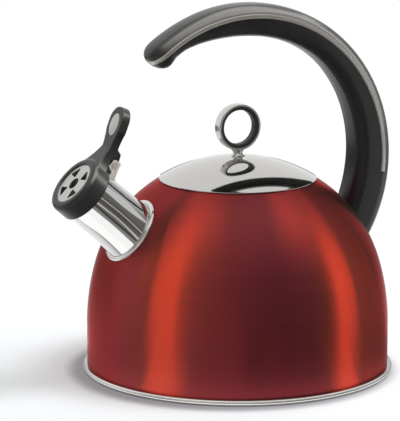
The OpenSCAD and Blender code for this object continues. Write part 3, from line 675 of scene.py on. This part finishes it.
def turned(name, color, rough):
    """Satin steel brushed round its own axis."""
    s = Shader(name, Metallic=1.0, Anisotropic=0.6)
    lines = s.ring_noise(3.0, 900.0, 3.0)
    s.link(s.tint(lines, shade(color, 0.9), color), "Base Color")
    s.link(s.between(lines, rough * 0.8, rough * 1.3), "Roughness")
    s.bump(lines, 0.15, 0.00005)
    s.radial_tangent()
    return s.mat


def rolled(name, color, rough):
    """Plain sheet steel with a faint grain."""
    s = Shader(name, Metallic=1.0)
    grain = s.noise(260.0, 4.0, (1, 1, 8))
    s.link(s.tint(grain, shade(color, 0.88), color), "Base Color")
    s.link(s.between(grain, rough * 0.8, rough * 1.25), "Roughness")
    s.bump(grain, 0.1, 0.00005)
    return s.mat


def moulded(name, color, rough, grain_scale):
    """Moulded plastic or rubber with a fine even grain and faint handling marks."""
    s = Shader(name, Specular_IOR_Level=0.3)
    grain = s.noise(grain_scale, 2.0)
    marks = s.noise(45.0, 5.0)
    s.link(s.tint(marks, shade(color, 0.9), shade(color, 1.12)), "Base Color")
    s.link(s.between(s.math("MULTIPLY_ADD", grain, 0.35, s.math("MULTIPLY", marks, 0.65)),
                     rough * 0.86, rough * 1.16), "Roughness")
    s.bump(grain, 0.25, 0.00003)
    return s.mat


looks = {
    "body_red": red_lacquer(),
    "rim_steel": turned("rim_satin", (0.60, 0.59, 0.57), 0.2),
    "base_steel": turned("base_satin", (0.52, 0.51, 0.50), 0.3),
    "spreader_aluminium": rolled("spreader_rolled", (0.60, 0.60, 0.61), 0.35),
    "spout_steel": polished("spout_polished", (0.585, 0.58, 0.575), 0.04, 0.01),
    "collar_steel": polished("collar_polished", (0.66, 0.66, 0.64), 0.12, 0.02),
    "bracket_steel": polished("bracket_polished", (0.86, 0.84, 0.77), 0.42, 0.02),
    "fastener_steel": rolled("fastener_rolled", (0.74, 0.72, 0.66), 0.4),
    "black_plastic": moulded("black_moulding", (0.012, 0.012, 0.012), 0.28, 1900.0),
    "whistle_steel": rolled("whistle_satin", (0.56, 0.55, 0.53), 0.34),
    "trim_steel": polished("trim_satin", (0.52, 0.50, 0.47), 0.38, 0.02),
    "lid_steel": polished("lid_polished", (0.56, 0.55, 0.53), 0.05, 0.02),
    "knob_steel": polished("knob_polished", (0.60, 0.59, 0.57), 0.16, 0.02),
    "liner_rubber": moulded("liner_soft", (0.020, 0.020, 0.022), 0.42, 1200.0),
    "strap_steel": rolled("strap_rolled", (0.36, 0.36, 0.37), 0.4),
}

# ---------- what rides on what ----------


def set_look(obj, slot):
    """Gives a piece one material, the look of a slot."""
    obj.data.materials.clear()
    obj.data.materials.append(looks[slot])


def bare_inside(obj, slot, height=60):
    """The inside of a hollow piece shows its bare sheet: every face that looks towards its middle, at a height."""
    obj.data.materials.append(looks[slot])
    middle = Vector((0, 0, height * MM))
    for face in obj.data.polygons:
        face.material_index = int(face.normal.dot(face.center - middle) < 0)


def place(obj, bodyname, slot, *replaced):
    """Puts a piece on a body in place of the CAD nodes that it stands for."""
    set_look(obj, slot)
    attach(obj, bodyname)
    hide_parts(*replaced)


place(body, "kettle", "body_red", *[n for n in NODES if n.startswith("body_")])
bare_inside(body, "base_steel")
place(rim, "kettle", "rim_steel", "bottom_plate")
place(spout, "kettle", "spout_steel", "spout_tube")
place(collar, "kettle", "collar_steel", "spout_collar")
place(bracket, "kettle", "bracket_steel", "hinge_bracket")
place(grip_outer, "kettle", "black_plastic", "handle_outer_shell")
place(grip_inner, "kettle", "black_plastic", "handle_inner_shell", "screw_plugs")
place(trim, "kettle", "trim_steel", "handle_trim")
place(cap, "whistle_cap", "black_plastic", "cap_housing")
place(inlay, "whistle_cap", "trim_steel", "lever_inlay")
set_look(spring, "fastener_steel")
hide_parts("torsion_spring")
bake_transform(spring)
place(lid, "lid", "lid_steel", "lid_dome")
place(skirt, "lid", "lid_steel", "lid_skirt")
place(knob, "lid", "knob_steel", "knob_ring")
place(liner, "lid", "liner_rubber", "knob_liner")
slots = {s["node"]: s["material_slot"] for s in frame["record"]["subparts"]}
for name, obj in NODES.items():
    look = looks[slots[name]]
    for index in range(len(obj.data.materials)):
        obj.data.materials[index] = look
    if not obj.data.materials:
        obj.data.materials.append(look)

# ---------- floor, light and camera, in metres ----------


def shown_white(tree):
    """1 for rays that see the background: straight from the camera, or by way of metal or glass."""
    path = tree.nodes.new("ShaderNodeLightPath")
    total = path.outputs["Is Camera Ray"]
    for name in ("Is Glossy Ray", "Is Transmission Ray"):
        best = tree.nodes.new("ShaderNodeMath")
        best.operation = "MAXIMUM"
        tree.links.new(total, best.inputs[0])
        tree.links.new(path.outputs[name], best.inputs[1])
        total = best.outputs[0]
    return total


FILL = 0.70                                     # how much the surroundings light the kettle
world = bpy.data.worlds.new("studio")
bpy.context.scene.world = world
world.use_nodes = True
back = world.node_tree.nodes["Background"]
# plain white where it is seen, and FILL where it lights the kettle
mix = world.node_tree.nodes.new("ShaderNodeMapRange")
world.node_tree.links.new(shown_white(world.node_tree), mix.inputs[0])
mix.inputs[3].default_value, mix.inputs[4].default_value = FILL, 1.0
back.inputs["Color"].default_value = (1, 1, 1, 1)
world.node_tree.links.new(mix.outputs[0], back.inputs["Strength"])


FLOOR_HALF, FLOOR_Z = 20, -0.00005              # a hair below the base, so that the two don't flicker
PAINTED_SHADOW_LEAN = (-0.0062, -0.0030, 0)                 # the way that the painted shadow, a dark line in the floor's colour under the rim, leans
PAINTED_SHADOW_FULL_TO, PAINTED_SHADOW_GONE_FROM = 0.108, 0.122               # where that painted shadow fades, as distances from its middle
SHADED_TO, WHITE_FROM = 0.24, 0.5               # where the shaded floor fades into plain white
VEIL = 0.10                                     # how much of that white lies over the shaded floor


def floor_look():
    """White: shaded near the kettle so that its shadow shows, with a shadow painted dark into its colour round the
    rim, and plain white far away.
    """
    s = Shader("floor_white", Roughness=0.9, Specular_IOR_Level=0.0)
    co = s.coords()
    from_painted_shadow = s.node("VectorMath", {0: co, 1: PAINTED_SHADOW_LEAN}, operation="SUBTRACT").outputs[0]
    out_of_painted_shadow = s.fade(s.length(from_painted_shadow), PAINTED_SHADOW_FULL_TO, PAINTED_SHADOW_GONE_FROM)
    # the floor's colour darkens close to the rim: a painted contact shadow
    s.link(s.tint(out_of_painted_shadow, (0.36, 0.36, 0.39), (0.89, 0.925, 0.94), 0.0, 1.0), "Base Color")
    white = shown_white(s.tree)
    far = s.math("MULTIPLY", s.fade(s.length(co), SHADED_TO, WHITE_FROM), white)
    near = s.node("AddShader", {0: s.bsdf.outputs[0], 1: s.glow(s.math("MULTIPLY", white, VEIL))})
    s.surface(s.node("MixShader", {0: far, 1: near.outputs[0], 2: s.glow(1.0)}).outputs[0])
    return s.mat


floor_mesh = bpy.data.meshes.new("floor")
floor_mesh.from_pydata([(x * FLOOR_HALF, y * FLOOR_HALF, 0) for x, y in ((-1, -1), (1, -1), (1, 1), (-1, 1))],
                       [], [(0, 1, 2, 3)])
floor_mesh.materials.append(floor_look())
floor = add_object("floor", floor_mesh)
floor.location.z = FLOOR_Z

CAM_AZ, CAM_EL, CAM_FAR = radians(-26.5), radians(11.8), 2.0
AIM_RIGHT, AIM_UP = -0.02656, 0.1128            # what the camera looks at, from the middle of the base
SENSOR, FRAME_H, FOCAL = 36.0, 421.0, 2833.0    # the last two in the same units: the frame's height and the lens
to_camera = Vector((sin(CAM_AZ) * cos(CAM_EL), -cos(CAM_AZ) * cos(CAM_EL), sin(CAM_EL)))
aim = AIM_RIGHT * Vector((cos(CAM_AZ), sin(CAM_AZ), 0)) + Vector((0, 0, AIM_UP))


def look_at(obj, place_at, target):
    """Puts a lamp or the camera at a place and turns it towards a target."""
    aside = (Vector(place_at) - Vector(target)).to_track_quat("Z", "Y")
    obj.matrix_world = Matrix.Translation(place_at) @ aside.to_matrix().to_4x4()


def from_camera(degrees_right, distance, height):
    """A point round the kettle, by angle to the right of the camera's own direction."""
    a = atan2(to_camera.y, to_camera.x) + radians(degrees_right)
    return Vector((distance * cos(a), distance * sin(a), height))


def softbox(name, where, target, size, radiance, color=(1, 1, 1), seen=True, lights=True):
    """A soft lamp: seen in reflections, lighting matt surfaces, or both."""
    width, height = size
    lamp = bpy.data.lights.new(name, "AREA")
    lamp.shape = "RECTANGLE"
    lamp.size, lamp.size_y = width, height
    lamp.energy = radiance * pi * width * height
    lamp.color = color
    obj = add_object(name, lamp)
    look_at(obj, where, target)
    obj.visible_camera = False
    obj.visible_glossy = seen
    obj.visible_diffuse = lights
    return obj


def only_for(lamp, *pieces):
    """Keeps a lamp's light to some pieces."""
    lamp.light_linking.receiver_collection = bpy.data.collections.new(lamp.name + "_pieces")
    for piece in pieces:
        lamp.light_linking.receiver_collection.objects.link(piece)


BODY_MIDDLE = (0, 0, 0.12)
# the lamps that the body alone reflects: (degrees right, distance, height), size, radiance, colour
WARM, AMBER, ROSE, BLUE = (1.0, 0.78, 0.14), (1.0, 0.80, 0.35), (1.0, 0.75, 0.6), (0.12, 0.22, 1.0)
BODY_LAMPS = {
    "strip_left": ((-57, 0.75, 0.42), (0.34, 0.84), 2.95, WARM),
    "strip_left_high": ((-57, 0.32, 0.72), (0.30, 0.34), 1.8, WARM),
    "strip_left_side": ((-81, 0.75, 0.52), (0.15, 0.44), 1.5, WARM),
    "glow_left": ((-98, 0.75, 0.60), (0.42, 0.56), 0.45, ROSE),
    "strip_right": ((88, 0.75, 0.28), (0.27, 0.56), 3.5, WARM),
    "strip_right_high": ((82, 0.42, 0.64), (0.26, 0.36), 2.3, AMBER),
    "violet": ((36, 0.27, 0.17), (0.36, 0.36), 0.26, BLUE)}
for name, (where, size, radiance, color) in BODY_LAMPS.items():
    only_for(softbox(name, from_camera(*where), BODY_MIDDLE, size, radiance, color, lights=False), body)

# the lamps that light the kettle, unseen in reflections
softbox("key", from_camera(92, 0.5, 1.08), (0, 0, 0.05), (0.45, 0.45), 9.5, seen=False)
softbox("rear", from_camera(140, 0.8, 0.62), (0, 0, 0.05), (0.4, 0.4), 1.6, seen=False)

# the lamps of the black mouldings, of the hinge plate with its pin, and of the spout
PALE = (1.0, 0.97, 0.92)
only_for(softbox("top_light", from_camera(62, 0.36, 1.05), (0, 0, 0.2), (1.1, 1.1), 8.0, PALE), grip_outer, cap)
only_for(softbox("grip_light", from_camera(86, 0.75, 0.50), (0, 0, 0.2), (0.8, 0.8), 4.0, PALE), grip_outer)
only_for(softbox("plate_light", from_camera(56, 0.5, 0.10), (-0.1, 0, 0.15), (0.4, 0.3), 4.0),
         bracket, NODES["hinge_pin"])
only_for(softbox("cap_light", from_camera(114, 0.8, 0.42), (-0.115, 0, 0.145), (0.7, 0.7), 7.5), cap, grip_outer)
only_for(softbox("spout_side", from_camera(84, 0.6, 0.26), (-0.1, 0, 0.14), (0.85, 0.33), 0.5, lights=False), spout)


LAMP_Z, ON_FLOOR = 0.0006, 0.0004               # heights of the lamps and cards that lie on the floor


def floor_strip(name, start, heading, near, far, width, radiance, color, piece):
    """A lamp lying on the floor and facing up, drawn out from a place on the body's foot: angles to the right."""
    along_it = from_camera(heading, 1, 0)
    where = from_camera(start, BODY_R * MM, LAMP_Z) + along_it * (near + far) / 2
    obj = softbox(name, where, (0, 0, 1), (width, far - near), radiance, color, lights=False)
    across = Vector((along_it.y, -along_it.x, 0))
    turn = Matrix((across, -along_it, (0, 0, -1))).transposed()
    obj.matrix_world = Matrix.Translation(where) @ turn.to_4x4()
    only_for(obj, piece)


# these carry the warm bands down to the body's foot, narrow close to it and wider further out
NEAR, FAR = (0.008, 0.12), (0.12, 0.42)
for name, way, reach, width, radiance in (
        ("floor_left_near", (-29, -58.5), NEAR, 0.044, 1.9), ("floor_left_far", (-29, -58.5), FAR, 0.12, 1.95),
        ("floor_right_near", (44, 89), NEAR, 0.030, 2.1), ("floor_right_far", (44, 89), FAR, 0.075, 2.2)):
    floor_strip(name, *way, *reach, width, radiance, WARM, body)
floor_strip("spout_floor", -42, -42, 0.02, 0.22, 0.2, 1.2, (1, 1, 1), spout)   # the underside of the spout


def card(name, rows, shades, color=(1, 1, 1)):
    """A curved studio card seen only in reflections.

    Its rows are (distance, height, factor) and its shades (degrees right, strength).
    """
    first, last, steps, count = shades[0][0], shades[-1][0], 72, len(rows)
    verts, faces, strengths = [], [], []
    for i in range(steps + 1):
        t = first + (last - first) * i / steps
        for distance, height, factor in rows:
            verts.append(tuple(from_camera(t, distance, height)))
            strengths.append(along(shades, t) * factor)
    for i in range(steps):
        for k in range(count - 1):
            faces.append((count * i + k, count * (i + 1) + k, count * (i + 1) + k + 1, count * i + k + 1))
    mesh = bpy.data.meshes.new(name)
    mesh.from_pydata(verts, [], faces)
    layer = mesh.attributes.new("shade", "FLOAT", "POINT")
    layer.data.foreach_set("value", strengths)
    obj = add_object(name, mesh)
    s = Shader(name)
    s.surface(s.glow(s.node("Attribute", attribute_name="shade").outputs["Fac"], color))
    mesh.materials.append(s.mat)
    for ray in ("camera", "diffuse", "shadow", "transmission", "volume_scatter"):
        setattr(obj, "visible_" + ray, False)


def wall(distance, low, high):
    """The rows of an upright card."""
    return [(distance, low, 1), (distance, high, 1)]


# soft stripes by height, which the polished spout shows sharply and the brushed body blurs away
STRIPES = [(0.0, 1.0), (0.016, 1.0), (0.020, 3.4), (0.034, 3.4), (0.040, 0.8), (0.085, 0.6), (0.108, 0.7),
           (0.114, 3.4), (0.124, 3.4), (0.130, 0.7), (0.152, 0.8), (0.165, 1.0), (0.36, 1.0)]
card("backing_left", wall(0.95, 0.001, 1.2), [(-104, 0.9), (-82, 0.7), (-76, 0.35), (-42, 0.35), (-36, 0.6)])
card("backing_right", wall(0.95, 0.001, 1.2), [(72, 0.35), (102, 0.35), (106, 0.5)])
card("card_side", wall(0.45, ON_FLOOR, 0.5),
     [(104, 0.6), (124, 0.6), (126, 0.1), (130, 0.1), (132, 0.6), (150, 0.6)])
card("card_front", [(0.30, ON_FLOOR + h, f) for h, f in STRIPES],
     [(-36.5, 0.62), (-26, 0.55), (-11, 0.47), (4.5, 0.37), (20, 0.25), (36, 0.19), (52, 0.19), (66, 0.22)],
     (1.0, 0.96, 0.88))
card("low_left", wall(0.6, ON_FLOOR, 0.13), [(-175, 0.22), (-120, 0.22), (-104, 0.6)])
card("low_right", wall(0.6, ON_FLOOR, 0.13), [(106, 0.6), (120, 0.22), (175, 0.22)])
# flat on the floor: a bright ring that the seam shows, and a grey one around it
APRON_IN, APRON_MID, APRON_OUT = 0.1125, 0.132, 0.30
card("rim_apron", [(APRON_IN, ON_FLOOR, 1), (APRON_MID, ON_FLOOR, 1)],
     [(-175, 0.3), (-130, 0.35), (-105, 0.45), (-80, 1.1), (-60, 1.6), (-20, 1.7), (66, 1.6), (90, 0.7),
      (110, 0.35), (175, 0.3)])
card("apron", [(APRON_MID, ON_FLOOR, 1), (APRON_OUT, ON_FLOOR, 1)],
     [(-130, 1.2), (-97, 1.2), (-85, 1.05), (-76, 0.9), (-70, 0.5), (-44, 0.5), (-38, 0.38), (-16, 0.36), (0, 0.36),
      (3, 0.08), (13, 0.08), (17, 0.3), (24, 0.16), (62, 0.18), (72, 0.4), (110, 0.45), (125, 0.7)])

camera = add_object("camera", bpy.data.cameras.new("camera"))
camera.data.sensor_width = SENSOR
camera.data.sensor_fit = "AUTO"
camera.data.lens = FOCAL / FRAME_H * SENSOR
look_at(camera, aim + CAM_FAR * to_camera, aim)
camera.data.clip_end = 100
bpy.context.scene.camera = camera
bpy.context.scene.view_settings.view_transform = "Standard"

bpy.context.view_layer.update()
